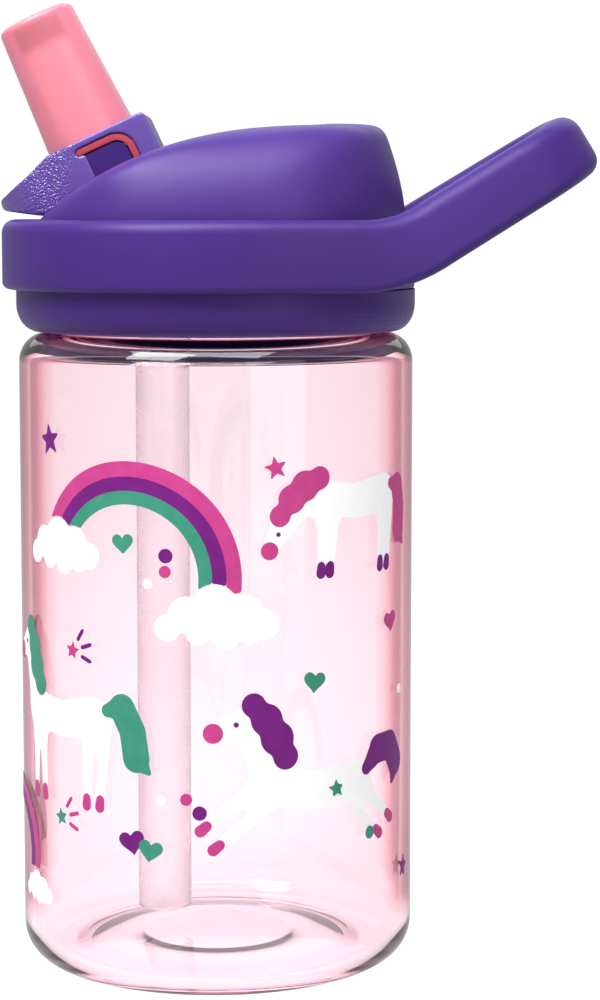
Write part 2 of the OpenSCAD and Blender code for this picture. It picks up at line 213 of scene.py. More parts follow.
def grained_polypropylene(name, dark, light, pebble_mm, grain_end_x):
    """Polypropylene with a pebbled thumb grip: glossy leather-like bumps on the tab, satin beyond it."""
    material, tree, shader = new_material(name)
    place = node(tree, "ShaderNodeTexCoord").outputs["Object"]
    wander = node(tree, "ShaderNodeTexNoise", links={"Vector": place}, Scale=900, Detail=2)
    warped = node(tree, "ShaderNodeMix", {"data_type": "VECTOR"},
                  {"A": place, "B": wander.outputs["Color"]}, Factor=0.0006)
    pebbles = node(tree, "ShaderNodeTexVoronoi", {"feature": "SMOOTH_F1"},
                   {"Vector": warped.outputs["Result"]}, Scale=1 / (pebble_mm * MM), Smoothness=0.5)
    axes = node(tree, "ShaderNodeSeparateXYZ", links={"Vector": place})
    on_tab = node(tree, "ShaderNodeMapRange", links={"Value": axes.outputs["X"]},
                  From_Min=(grain_end_x + 3) * MM, From_Max=(grain_end_x - 2) * MM, To_Min=0.03, To_Max=1)
    height = node(tree, "ShaderNodeMath", {"operation": "MULTIPLY"},
                  {0: pebbles.outputs["Distance"], 1: on_tab.outputs["Result"]})
    relief = node(tree, "ShaderNodeBump", {"invert": True}, {"Height": height.outputs["Value"]},
                  Strength=1, Distance=0.2 * MM)
    flow = node(tree, "ShaderNodeTexNoise", links={"Vector": place}, Scale=90, Detail=3)
    gloss = node(tree, "ShaderNodeMapRange", links={"Value": on_tab.outputs["Result"]},
                 To_Min=0.42, To_Max=0.22)
    tree.links.new(two_tones(tree, flow.outputs["Fac"], dark, light), shader.inputs["Base Color"])
    tree.links.new(gloss.outputs["Result"], shader.inputs["Roughness"])
    tree.links.new(relief.outputs["Normal"], shader.inputs["Normal"])
    shader.inputs["IOR"].default_value = POLYPROPYLENE_IOR
    shader.inputs["Specular IOR Level"].default_value = 0.9
    return material


def clear_plastic(name, facing_tints, roughness, ior, wave_mm, depth_mm, absorb=None):
    """Clear moulded plastic: slow ripples of the wall bend what is seen through it. A tint by facing
    stands in for the longer way through the wall at the edges, and is weaker near the base. Shadow and
    diffuse rays go straight through, which real plastic doesn't let them do: it keeps the inside light."""
    material, tree, shader = new_material(name)
    place = node(tree, "ShaderNodeTexCoord").outputs["Object"]
    ripple = node(tree, "ShaderNodeTexNoise", links={"Vector": place}, Scale=1 / (wave_mm * MM), Detail=1)
    haze = node(tree, "ShaderNodeMapRange", links={"Value": ripple.outputs["Fac"]},
                From_Min=0.3, From_Max=0.7, To_Min=roughness, To_Max=roughness * 1.6)
    relief = node(tree, "ShaderNodeBump", links={"Height": ripple.outputs["Fac"]},
                  Strength=1, Distance=depth_mm * MM)
    edge = node(tree, "ShaderNodeLayerWeight", Blend=0.5)
    axes = node(tree, "ShaderNodeSeparateXYZ", links={"Vector": place})
    above_base = node(tree, "ShaderNodeMapRange", links={"Value": axes.outputs["Z"]},
                      From_Min=6 * MM, From_Max=14 * MM, To_Min=0.5, To_Max=1)
    along = node(tree, "ShaderNodeMath", {"operation": "MULTIPLY"},
                 {0: edge.outputs["Facing"], 1: above_base.outputs["Result"]})
    ramp = node(tree, "ShaderNodeValToRGB", links={"Fac": along.outputs["Value"]})
    for position, _ in facing_tints[1:-1]:
        ramp.color_ramp.elements.new(position)
    for stop, (position, code) in zip(ramp.color_ramp.elements, facing_tints):
        stop.position, stop.color = position, srgb(code)
    tree.links.new(ramp.outputs["Color"], shader.inputs["Base Color"])
    tree.links.new(haze.outputs["Result"], shader.inputs["Roughness"])
    tree.links.new(relief.outputs["Normal"], shader.inputs["Normal"])
    shader.inputs["IOR"].default_value = ior
    shader.inputs["Transmission Weight"].default_value = 1
    path = node(tree, "ShaderNodeLightPath")
    soft_rays = node(tree, "ShaderNodeMath", {"operation": "MAXIMUM"},
                     {0: path.outputs["Is Shadow Ray"], 1: path.outputs["Is Diffuse Ray"]})
    clear = node(tree, "ShaderNodeBsdfTransparent", Color=srgb(facing_tints[0][1]))
    mixed = node(tree, "ShaderNodeMixShader", links={0: soft_rays.outputs["Value"],
                                                     1: shader.outputs["BSDF"], 2: clear.outputs["BSDF"]})
    tree.links.new(mixed.outputs["Shader"], tree.nodes["Material Output"].inputs["Surface"])
    if absorb:
        body = node(tree, "ShaderNodeVolumeAbsorption", Color=srgb(absorb[0]), Density=absorb[1])
        tree.links.new(body.outputs["Volume"], tree.nodes["Material Output"].inputs["Volume"])
    return material


def print_ink(name, dark, light):
    """Screen-printed enamel ink: an opaque film with the mesh's faint ripple and a slight sheen."""
    material, tree, shader = new_material(name)
    place = node(tree, "ShaderNodeTexCoord").outputs["Object"]
    flow = node(tree, "ShaderNodeTexNoise", links={"Vector": place}, Scale=400, Detail=4)
    mesh_mark = node(tree, "ShaderNodeTexNoise", links={"Vector": place}, Scale=1 / (0.4 * MM), Detail=1)
    relief = node(tree, "ShaderNodeBump", links={"Height": mesh_mark.outputs["Fac"]},
                  Strength=0.3, Distance=0.01 * MM)
    gloss = node(tree, "ShaderNodeMapRange", links={"Value": flow.outputs["Fac"]}, To_Min=0.35, To_Max=0.5)
    tree.links.new(two_tones(tree, flow.outputs["Fac"], dark, light), shader.inputs["Base Color"])
    tree.links.new(gloss.outputs["Result"], shader.inputs["Roughness"])
    tree.links.new(relief.outputs["Normal"], shader.inputs["Normal"])
    shader.inputs["Specular IOR Level"].default_value = 0.2
    return material


def paint_bore_light_and_shade(tree, place, colour, through, painted_shade_colour):
    """Paints light and shade on a spout's rubber in place of the bore that shows dimly through it: a painted
    lighter band down the middle and painted shade under the bore's roof."""
    turned = node(tree, "ShaderNodeVectorRotate", {"rotation_type": "Y_AXIS"}, {"Vector": place},
                  Center=(PIVOT_X * MM, 0, PIVOT_Z * MM), Angle=LEAN)
    axes = node(tree, "ShaderNodeSeparateXYZ", links={"Vector": turned.outputs["Vector"]})
    middle = node(tree, "ShaderNodeMath", {"operation": "ADD"}, {0: axes.outputs["X"]})
    middle.inputs[1].default_value = (2.4 - PIVOT_X) * MM
    aside = node(tree, "ShaderNodeMath", {"operation": "ABSOLUTE"}, {0: middle.outputs["Value"]})
    bore = node(tree, "ShaderNodeMapRange", {"interpolation_type": "SMOOTHSTEP"}, {"Value": aside.outputs["Value"]},
                From_Min=5.2 * MM, From_Max=3.8 * MM)
    under = node(tree, "ShaderNodeMapRange", {"interpolation_type": "SMOOTHSTEP"}, {"Value": axes.outputs["Z"]},
                 From_Min=(PIVOT_Z + 34.6) * MM, From_Max=(PIVOT_Z + 33.2) * MM)
    above = node(tree, "ShaderNodeMapRange", {"interpolation_type": "SMOOTHSTEP"}, {"Value": axes.outputs["Z"]},
                 From_Min=(PIVOT_Z + 28) * MM, From_Max=(PIVOT_Z + 30.5) * MM, To_Max=0.75)
    roof = node(tree, "ShaderNodeMath", {"operation": "MULTIPLY"},
                {0: under.outputs["Result"], 1: above.outputs["Result"]})
    painted_shade_mask = node(tree, "ShaderNodeMath", {"operation": "MULTIPLY"},
                     {0: roof.outputs["Value"], 1: bore.outputs["Result"]})
    # Painted lighter band down the bore's middle, then painted shade under the bore's roof.
    painted_lighter_band = node(tree, "ShaderNodeMix", {"data_type": "RGBA"},
                 {0: bore.outputs["Result"], 6: colour})
    painted_lighter_band.inputs[7].default_value = srgb(through)
    bore_light_and_shade = node(tree, "ShaderNodeMix", {"data_type": "RGBA"},
                  {0: painted_shade_mask.outputs["Value"], 6: painted_lighter_band.outputs[2]})
    bore_light_and_shade.inputs[7].default_value = srgb(painted_shade_colour)
    return bore_light_and_shade.outputs[2]


def silicone(name, dark, light, depth_mm, soft, roughness=0.38, bore=None):
    """Moulded silicone rubber: light soaks in and glows, under a smooth skin with a dull shine."""
    material, tree, shader = new_material(name)
    place = node(tree, "ShaderNodeTexCoord").outputs["Object"]
    cloud = node(tree, "ShaderNodeTexNoise", links={"Vector": place}, Scale=120, Detail=2)
    skin = node(tree, "ShaderNodeTexNoise", links={"Vector": place}, Scale=1 / (0.5 * MM), Detail=2)
    relief = node(tree, "ShaderNodeBump", links={"Height": skin.outputs["Fac"]},
                  Strength=0.25, Distance=0.03 * MM)
    gloss = node(tree, "ShaderNodeMapRange", links={"Value": cloud.outputs["Fac"]},
                 To_Min=roughness - 0.06, To_Max=roughness + 0.06)
    colour = two_tones(tree, cloud.outputs["Fac"], dark, light)
    # With bore given, the colour gets painted light and shade in place of the bore seen through the rubber.
    if bore:
        colour = paint_bore_light_and_shade(tree, place, colour, *bore)
    tree.links.new(colour, shader.inputs["Base Color"])
    tree.links.new(gloss.outputs["Result"], shader.inputs["Roughness"])
    tree.links.new(relief.outputs["Normal"], shader.inputs["Normal"])
    shader.inputs["Subsurface Weight"].default_value = soft
    shader.inputs["Subsurface Radius"].default_value = (1, 0.45, 0.45)
    shader.inputs["Subsurface Scale"].default_value = depth_mm * MM
    shader.inputs["IOR"].default_value = SILICONE_IOR
    return material


# ---------------------------------------------------------------- modelling by hand

def deselect():
    if bpy.context.object and bpy.context.object.mode != "OBJECT":
        bpy.ops.object.mode_set(mode="OBJECT")
    bpy.ops.object.select_all(action="DESELECT")


def pick(piece):
    """Selects this piece alone and makes it the active one."""
    deselect()
    piece.select_set(True)
    bpy.context.view_layer.objects.active = piece


def named(name):
    piece = bpy.context.object
    piece.name = name
    piece.data.name = name
    return piece


def outward():
    """Closes seams and poles of the mesh being edited, and turns its faces outwards."""
    bpy.ops.mesh.select_all(action="SELECT")
    bpy.ops.mesh.remove_doubles(threshold=0.002 * MM)
    bpy.ops.mesh.normals_make_consistent(inside=False)
    bpy.ops.object.mode_set(mode="OBJECT")


def place_corners(corners, points):
    for corner, point in zip(corners, points):
        corner.co = Vector(point) * MM


def loft(name, rings, joined=False):
    """A circle's corners are set on the first ring, then extruded from ring to ring. The ends are
    closed with a face each, or bridged to each other if joined."""
    deselect()
    bpy.ops.mesh.primitive_circle_add(vertices=len(rings[0]), radius=MM)
    piece = named(name)
    bpy.ops.object.mode_set(mode="EDIT")
    shape = bmesh.from_edit_mesh(piece.data)
    last = list(shape.verts)
    place_corners(last, rings[0])
    if not joined:
        bpy.ops.mesh.edge_face_add()
    for ring in rings[1:]:
        order = {tuple(corner.co): i for i, corner in enumerate(last)}
        bpy.ops.mesh.extrude_region_move()
        shape = bmesh.from_edit_mesh(piece.data)
        last = sorted((v for v in shape.verts if v.select), key=lambda v: order[tuple(v.co)])
        place_corners(last, ring)
    bmesh.update_edit_mesh(piece.data)
    bpy.ops.mesh.select_all(action="DESELECT")
    bpy.ops.mesh.select_mode(type="EDGE")
    bpy.ops.mesh.select_non_manifold()
    if joined:
        bpy.ops.mesh.bridge_edge_loops()
    else:
        bpy.ops.mesh.edge_face_add()
    bpy.ops.mesh.select_mode(type="VERT")
    outward()
    return piece


def lathe(name, profile, steps=128, axis_x=0):
    """A profile of [radius, height] corners is extruded from a single vertex and spun upright."""
    deselect()
    bpy.ops.mesh.primitive_plane_add(size=MM)
    piece = named(name)
    bpy.ops.object.mode_set(mode="EDIT")
    bpy.ops.mesh.merge(type="CENTER")
    bpy.ops.transform.translate(value=(profile[0][0] * MM, 0, profile[0][1] * MM))
    for (r0, z0), (r1, z1) in zip(profile, profile[1:]):
        bpy.ops.mesh.extrude_region_move(
            TRANSFORM_OT_translate={"value": ((r1 - r0) * MM, 0, (z1 - z0) * MM)})
    bpy.ops.mesh.select_all(action="SELECT")
    bpy.ops.mesh.spin(steps=steps, angle=TAU, center=(0, 0, 0), axis=(0, 0, 1))
    bpy.ops.mesh.select_all(action="SELECT")
    bpy.ops.transform.translate(value=(axis_x * MM, 0, 0))
    outward()
    return piece


def arc(centre, rx, ry, start, end, n=8):
    """Points on an arc from angle start to end, in degrees."""
    angles = [math.radians(start + (end - start) * i / n) for i in range(n + 1)]
    return [(centre[0] + rx * math.cos(a), centre[1] + ry * math.sin(a)) for a in angles]


def in_spout(u, v, w):
    """A place in the raised spout: u across its carrier, v along its mouthpiece, w along its axle."""
    return (PIVOT_X + u * math.cos(LEAN) - v * math.sin(LEAN), w,
            PIVOT_Z + u * math.sin(LEAN) + v * math.cos(LEAN))


def plate(name, outline, half_w, where=in_spout):
    """An outline extruded to both sides of the middle plane."""
    return loft(name, [[where(u, v, w) for u, v in outline] for w in (-half_w, half_w)])


def modify(piece, kind, **settings):
    """Adds a modifier to a piece and applies it."""
    pick(piece)
    modifier = piece.modifiers.new(kind.lower(), kind)
    for key, value in settings.items():
        setattr(modifier, key, value)
    bpy.ops.object.modifier_apply(modifier=modifier.name)


def combine(piece, tool, operation):
    """Joins a tool body to a piece, cuts it away, or keeps only what they share."""
    modify(piece, "BOOLEAN", operation=operation, object=tool, solver="EXACT")
    bpy.data.objects.remove(tool)


def soften(piece, cell_mm, passes, strength=0.5):
    """Rebuilds the surface as an even skin and relaxes it, which rounds every edge a little."""
    modify(piece, "REMESH", mode="VOXEL", voxel_size=cell_mm * MM)
    modify(piece, "SMOOTH", factor=strength, iterations=passes)


def finish_piece(piece, material, body, slot, *nodes, angle=35):
    pick(piece)
    piece.data.materials.clear()
    piece.data.materials.append(material)
    bpy.ops.object.shade_smooth_by_angle(angle=math.radians(angle))
    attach(piece, body)
    if nodes:
        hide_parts(*nodes)


# ---------------------------------------------------------------- the bottle

def bottle_profile():
    foot = BARREL_R - 7
    outside = ([(0, 3), (12.2, 2.94), (12.9, 2.84), (14.1, 2.8), (14.8, 2.84), (20.6, 2.3), (24.4, 1.1), (26.2, 0.2)]
               + [(27, 0)] + arc((foot, 7), 7, 7, -90, 0, 14)
               + arc((BARREL_R - 4.9, SHOULDER_Z - 5.3), 4.9, 5.3, 0, 90, 12)
               + [(NECK_R + 0.6, SHOULDER_Z + 0.05), (NECK_R, SHOULDER_Z + 0.5), (NECK_R, NECK_TOP_Z - 0.6)]
               + arc((NECK_R - 0.6, NECK_TOP_Z - 0.6), 0.6, 0.6, 30, 90, 3))
    inside = ([(NECK_BORE_R + 0.4, NECK_TOP_Z), (NECK_BORE_R, NECK_TOP_Z - 0.4), (NECK_BORE_R, SHOULDER_Z)]
              + arc((BARREL_R - 6.9, SHOULDER_Z - 5.3), 4.9, 3.3, 84, 0, 10)
              + arc((foot, 7.6), 5, 5, 0, -90, 12) + [(24, 4.2), (0, 5)])
    return outside + inside


def helix(name, crest_r, root_r, low_z, turns, steps=48):
    """A rib of screw thread that tapers out of the wall at both ends."""
    rings = []
    count = int(steps * turns)
    for i in range(count + 1):
        a = TAU * i / steps
        z = low_z + THREAD_PITCH * i / steps
        rise = min(1, min(i, count - i) / 5)
        crest = root_r + (crest_r - root_r) * (0.15 + 0.85 * rise)
        section = [(root_r, 0.95), (crest, 0.55), (crest, -0.55), (root_r, -0.95)]
        rings.append([(r * math.cos(a), r * math.sin(a), z + dz) for r, dz in section])
    return loft(name, rings)


def make_bottle(material):
    shell = lathe("bottle_shell", bottle_profile(), 160)
    combine(shell, helix("neck_thread", NECK_R + 1.5, NECK_R - 0.7, SHOULDER_Z + 4, THREAD_TURNS), "UNION")
    finish_piece(shell, material, "bottle", "bottle", "bottle_body")


def make_straw(material):
    r, wall, low, top = 5, 0.9, 9, 128.2
    bore = r - wall
    profile = [(bore, low + 0.2), (bore + 0.2, low), (r - 0.2, low), (r, low + 0.2),
               (r, top), (bore, top), (bore, low + 0.2)]
    finish_piece(lathe("drinking_straw", profile, 48, axis_x=-10), material, "lid", "straw", "straw")


# ---------------------------------------------------------------- the carry ring and its loop

CLEAR_OF_RING = 99


def strap_path():
    """The strap's middle line in plan: x, y, heading, distance past the point where it leaves the ring,
    and how far it is round the far corner, from 0 to 1. It starts at the ring's back on +Y."""
    start = (STRAP_C_R * math.sin(TOE_IN), STRAP_C_R * math.cos(TOE_IN))
    bar_x = LOOP_REACH - STRAP_T / 2
    corner_y = start[1] - (bar_x - start[0]) * math.tan(TOE_IN)
    corner_len = LOOP_CORNER_R * math.tan((math.pi / 2 - TOE_IN) / 2)
    corner = (bar_x - LOOP_CORNER_R, corner_y - corner_len)
    arm_end_x = bar_x - corner_len * math.cos(TOE_IN)
    path = []
    for i in range(36):
        a = math.pi - (math.pi / 2 + TOE_IN) * i / 36
        path.append((STRAP_C_R * math.cos(a), STRAP_C_R * math.sin(a), a - math.pi / 2, 0, 0))
    for i in range(31):
        x = start[0] + (arm_end_x - start[0]) * i / 30
        path.append((x, start[1] - (x - start[0]) * math.tan(TOE_IN), -TOE_IN,
                     (x - start[0]) / math.cos(TOE_IN), 0))
    for i in range(1, 15):
        a = (math.pi / 2 - TOE_IN) * (1 - i / 14)
        path.append((corner[0] + LOOP_CORNER_R * math.cos(a), corner[1] + LOOP_CORNER_R * math.sin(a),
                     a - math.pi / 2, CLEAR_OF_RING, i / 14))
    for share in (0.75, 0.6, 0.6):
        path.append((bar_x, path[-1][1] * share, -math.pi / 2, CLEAR_OF_RING, 1))
    other = [(x, -y, -math.pi - heading, far, turn) for x, y, heading, far, turn in reversed(path)]
    return path + other[:-1]


def lifted(x, y, up):
    """Bends the level strap upwards: up is the height above its middle line."""
    a = max(0, min(LOOP_TILT, (x - BEND_X) / BEND_R))
    straight = max(0, x - BEND_X - BEND_R * LOOP_TILT)
    middle = RING_LOW_Z + RING_H / 2
    if x > BEND_X:
        x = BEND_X + BEND_R * math.sin(a) + straight * math.cos(a)
        middle += BEND_R * (1 - math.cos(a)) + straight * math.sin(a)
    return (x - up * math.sin(a), y, middle + up * math.cos(a))


def rounded_section(inner, outer, height, radii, n=5):
    """A rounded rectangle as [across, up]; radii are for the outer top, inner top, inner bottom and
    outer bottom corners."""
    top = height / 2
    turns = [((outer, top), (-1, -1), 0), ((inner, top), (1, -1), 90),
             ((inner, -top), (1, 1), 180), ((outer, -top), (-1, 1), 270)]
    points = []
    for (corner, inward, start), r in zip(turns, radii):
        points += arc((corner[0] + inward[0] * r, corner[1] + inward[1] * r), r, r, start, start + 90, n)
    return points


def mix(a, b, t):
    return a + (b - a) * t


def strap_ring(x, y, heading, far, turn):
    half_t = STRAP_T / 2
    reach = min(far, math.sqrt(RING_BORE_R ** 2 - (STRAP_C_R - half_t) ** 2))
    inner = math.sqrt(RING_BORE_R ** 2 - reach ** 2) - STRAP_C_R
    if far > reach:
        inner = -half_t
    free = max(0, min(1, (far - reach) / 8))
    rise = max(0, min(1, (x - BEND_X) / (BEND_R * LOOP_TILT)))
    height = mix(RING_H, STRAP_H, rise)
    radii = [mix(mix(2.4, 2.9, rise), 3.8, turn), mix(mix(0.5, 2.2, free), 1.7, turn),
             mix(mix(0.5, 2, free), 1.6, turn), mix(mix(1.3, 1.9, rise), 3, turn)]
    ring = []
    for across, up in rounded_section(inner, half_t, height, radii):
        ring.append(lifted(x - across * math.sin(heading), y + across * math.cos(heading), up))
    return ring


def make_carry_ring(material):
    ring = loft("carry_ring_and_loop", [strap_ring(*p) for p in strap_path()], joined=True)
    rear_r = 36.8
    rings = []
    for i in range(49):
        a = math.radians(mix(-79, 79, i / 48))
        section = rounded_section(RING_BORE_R, rear_r, RING_H, (1, 0.3, 0.3, 0.6), 4)
        rings.append([(r * math.cos(a), r * math.sin(a), RING_LOW_Z + RING_H / 2 + up) for r, up in section])
    combine(ring, loft("ring_rear", rings), "UNION")
    finish_piece(ring, material, "lid", "lid", "carry_ring")


# ---------------------------------------------------------------- the dome

def soft_max(values, blend):
    """The largest of several values, blended where two are within reach of each other."""
    result = values[0]
    for value in values[1:]:
        near = max(0, min(1, 0.5 + 0.5 * (value - result) / blend))
        result = mix(result, value, near) + blend * near * (1 - near)
    return result


def dome_field(x, y, z):
    """Below zero inside the dome. Its side view rises slowly from the spout to a crest near the rear
    wall, its end view rounds over to both flanks, and its plan is round."""
    low, crest_x, left_x = 16.6, 24, -30.8
    t = max(0, (crest_x - x) / (crest_x - left_x))
    over = z - (DOME_TOP_Z - low * t ** 2.5)
    flank_r = DOME_R - 14
    flank_h = DOME_TOP_Z - RING_TOP_Z + 0.9
    side = max(0, abs(y) - 14) / flank_r
    up = max(0, z - RING_TOP_Z + 0.6) / flank_h
    flank = (math.hypot(side, up) - 1) * flank_r - 0.35 * max(0, 14 - abs(y))
    lean = max(0, min(1.2, (z - RING_TOP_Z) / 14.4))
    wall = math.hypot(x, y) - (DOME_R - 3.2 * lean ** 1.6)
    return soft_max([soft_max([flank, wall], 5), over], 2.4)


def dome_ring(height_share, count=96):
    """One ring of the dome's skin, found outwards from its middle; height_share is 0 at the foot and 1
    at the crown."""
    centre = (4, 0, RING_TOP_Z - 1)
    tilt = math.radians(mix(0, 89.5, height_share))
    ring = []
    for i in range(count):
        a = TAU * i / count
        step = (math.cos(a) * math.cos(tilt), math.sin(a) * math.cos(tilt), math.sin(tilt))
        near, far = 0, 60
        for _ in range(30):
            middle = (near + far) / 2
            inside = dome_field(*[c + s * middle for c, s in zip(centre, step)]) < 0
            near, far = (middle, far) if inside else (near, middle)
        ring.append(tuple(c + s * near for c, s in zip(centre, step)))
    return ring


def make_dome(material):
    foot = dome_ring(0)
    rings = [[(x, y, z) for x, y, _ in foot] for z in (DECK_TOP_Z, mix(DECK_TOP_Z, foot[0][2], 0.5))]
    rings += [dome_ring(i / 40) for i in range(41)]
    dome = loft("lid_dome", rings)
    end_x, corner, floor_z = 21, 5, LID_Z + 20.5
    outline = ([(-50, -CHANNEL_HALF_W)] + arc((end_x - corner, corner - CHANNEL_HALF_W), corner, corner, -90, 0)
               + arc((end_x - corner, CHANNEL_HALF_W - corner), corner, corner, 0, 90)
               + [(-50, CHANNEL_HALF_W)])
    channel = loft("channel", [[(x, y, z) for x, y in outline] for z in (floor_z, floor_z + 40)])
    combine(dome, channel, "DIFFERENCE")
    opening = [(-50, -CHANNEL_HALF_W), (-2, -CHANNEL_HALF_W), (-2, CHANNEL_HALF_W), (-50, CHANNEL_HALF_W)]
    combine(dome, loft("open_deck", [[(x, y, z) for x, y in opening] for z in (DECK_TOP_Z - 3, floor_z + 3)]),
            "DIFFERENCE")
    soften(dome, 0.5, 6)
    finish_piece(dome, material, "lid", "lid", "cap_dome", angle=60)


# ---------------------------------------------------------------- the spout

SLOT_W = 1.4


def window_outline(inset):
    """The window's edge: a slot runs along the top to a round end, past the opening under it."""
    right, top, r = 5 - inset, 9.7 - inset, 3.8 - inset
    end_r = SLOT_W / 2 - inset
    return ([(-4.05 + inset, 3), (right, 3)] + arc((right - r, top - r), r, r, 0, 90, 10)
            + arc((-5.6 + SLOT_W / 2, 9.7 - SLOT_W / 2), end_r, end_r, 90, 270, 8)
            + [(-4.05 + inset, 9.7 - SLOT_W + inset)])


def make_pod(material):
    outline = ([(-10.4, 11), (-15.2, 9.2), (-20.6, 7.8)] + arc((-21.2, 6.4), 1.3, 1.3, 100, 230, 6)
               + [(-16.2, 1.8)] + arc((0, 0), 7.9, 7.9, 200, 350, 18) + [(8.5, 2.6), (8.7, 4)]
               + arc((7.8, 10.1), 0.9, 0.9, 0, 90, 4))
    pod = plate("flip_carrier", outline, POD_HALF_W)
    nose = 8.5
    plan = ([(12, -POD_HALF_W), (12, POD_HALF_W)]
            + arc((-22.5 + nose, POD_HALF_W - nose), nose, nose, 90, 180, 10)
            + arc((-22.5 + nose, nose - POD_HALF_W), nose, nose, 180, 270, 10))
    combine(pod, loft("tab_plan", [[in_spout(u, v, w) for u, w in plan] for v in (-12, 14)]), "INTERSECT")
    hollow = [(-8.2, 9.7), (-13.2, 7.4), (-16.2, 4.2), (-17, -9), (12, -9), (12, 2.4), (7.2, 2.4), (7.2, 9.7)]
    combine(pod, plate("hollow", hollow, POD_HALF_W - 2.2), "DIFFERENCE")
    combine(pod, plate("window", window_outline(0), POD_HALF_W + 2), "DIFFERENCE")
    socket = [[in_spout(-2.4 + x, v, y) for x, y in arc((0, 0), 6.2, 6.2, 0, 352.5, 47)] for v in (0, 14)]
    combine(pod, loft("socket", socket), "DIFFERENCE")
    soften(pod, 0.3, 5)
    finish_piece(pod, material, "spout", "lid", "flip_pod", angle=60)


def make_window_seal(material):
    """The silicone lip that shows as an arch inside the carrier's windows."""
    outer = window_outline(0.05)
    right, top, r = 5 - SLOT_W, 9.7 - SLOT_W, 3.8 - SLOT_W
    inner = arc((right - r, top - r), r, r, 90, 0, 10) + [(right, 3)]
    seal = plate("window_seal", outer[1:-1] + inner, CORE_HALF_W)
    modify(seal, "BEVEL", width=0.25 * MM, segments=3, limit_method="ANGLE", angle_limit=math.radians(50))
    finish_piece(seal, material, "spout", "mouthpiece", "bite_valve")


def oval(u, v, half_u, half_w, count=64):
    """A ring of the mouthpiece: a little squarer than an ellipse."""
    ring = []
    for i in range(count):
        a = TAU * i / count
        c, s = math.cos(a), math.sin(a)
        power = 2 / 2.3
        ring.append(in_spout(u + half_u * math.copysign(abs(c) ** power, c), v,
                             half_w * math.copysign(abs(s) ** power, s)))
    return ring


def make_mouthpiece(material):
    low, top = 11.01, 35.15
    base, tip, edge_r = (8.4, 9.6), (7.15, 8.6), 1.1
    rings = []
    for i in range(13):
        t = i / 12
        rings.append(oval(mix(-2.4, -2.45, t), mix(low, top - edge_r, t), mix(base[0], tip[0], t),
                          mix(base[1], tip[1], t)))
    for a in (15, 35, 55, 75, 90):
        r = math.radians(a)
        shrink = edge_r * (1 - math.cos(r))
        rings.append(oval(-2.45, top - edge_r * (1 - math.sin(r)), tip[0] - shrink, tip[1] - shrink))
    rings.append(oval(-2.45, top + 0.05, 3, 4))
    mouth = loft("mouthpiece", rings)
    cavity = [oval(-2.3, low - 1, 4.6, 4.6), oval(-2.3, low + 4.5, 4.6, 4.6), oval(-2.2, low + 5.5, 5.6, 6.8),
              oval(-2.4, top - 5.5, 4.8, 6.2), oval(-2.4, top - 3.6, 3.2, 4.6), oval(-2.4, top - 3, 1, 2.4)]
    combine(mouth, loft("cavity", cavity), "DIFFERENCE")
    slit = [(-2.6, top - 4), (-2.2, top - 4), (-2.2, top + 1), (-2.6, top + 1)]
    combine(mouth, plate("slit", slit, 4), "DIFFERENCE")
    finish_piece(mouth, material, "spout", "mouthpiece", "bite_valve", angle=50)


# ---------------------------------------------------------------- the print
# Each ink is one thin film. Its shape is drawn flat as distances to simple forms: s runs round the
# barrel from the front, and h is the height above the table.

PRINT_HALF_S = 66
PRINT_Z = (9, 106)
PRINT_STEP = 0.4
FILM_T = 0.02
FILM_LIFT = 0.03
CLOUD_GAP = 0.25


def at_angle(degrees):
    return math.radians(degrees) * BARREL_R


def disc(g, s, h, r):
    return np.hypot(g[0] - s, g[1] - h) - r


def limb(g, a, b, ra, rb):
    """A straight stroke from a to b that tapers from radius ra to rb."""
    ds, dh = b[0] - a[0], b[1] - a[1]
    t = np.clip(((g[0] - a[0]) * ds + (g[1] - a[1]) * dh) / (ds * ds + dh * dh), 0, 1)
    return np.hypot(g[0] - a[0] - t * ds, g[1] - a[1] - t * dh) - (ra + (rb - ra) * t)


def stroke(g, points, radii):
    """A curved stroke through points, with a radius at each."""
    parts = [limb(g, a, b, ra, rb) for a, b, ra, rb in zip(points, points[1:], radii, radii[1:])]
    return np.minimum.reduce(parts)


def blend(fields, reach):
    """One form out of several, with the inner corners between them filled."""
    result = fields[0]
    for field in fields[1:]:
        near = np.clip(0.5 + 0.5 * (result - field) / reach, 0, 1)
        result = result + (field - result) * near - reach * near * (1 - near)
    return result


def outline_field(g, points):
    """Distance to a closed outline, below zero inside it."""
    far = np.full(g[0].shape, 1e9)
    inside = np.zeros(g[0].shape, bool)
    for (s0, h0), (s1, h1) in zip(points, points[1:] + points[:1]):
        far = np.minimum(far, limb(g, (s0, h0), (s1, h1), 0, 0))
        crosses = (h0 > g[1]) != (h1 > g[1])
        if h0 != h1:
            inside ^= crosses & (g[0] < (s1 - s0) * (g[1] - h0) / (h1 - h0) + s0)
    return np.where(inside, -far, far)


def star(g, s, h, r, turn=0):
    points = []
    for i in range(10):
        a = math.radians(90 + 36 * i + turn)
        size = r if i % 2 == 0 else r * 0.42
        points.append((s + size * math.cos(a), h + size * math.sin(a)))
    return outline_field(g, points)


def heart(g, s, h, size, turn=0):
    points = []
    for i in range(36):
        a = TAU * i / 36
        x = 16 * math.sin(a) ** 3
        y = 13 * math.cos(a) - 5 * math.cos(2 * a) - 2 * math.cos(3 * a) - math.cos(4 * a)
        c, k = math.cos(math.radians(turn)), math.sin(math.radians(turn))
        points.append((s + size * (x * c - y * k) / 32, h + size * (x * k + y * c) / 32))
    return outline_field(g, points)


def rays(g, s, h, start, count=3, near=2.6, far=4.6):
    """Short strokes that burst away from a star."""
    strokes = []
    for i in range(count):
        a = math.radians(start + 38 * i)
        strokes.append(limb(g, (s + near * math.cos(a), h + near * math.sin(a)),
                            (s + far * math.cos(a), h + far * math.sin(a)), 0.38, 0.38))
    return np.minimum.reduce(strokes)


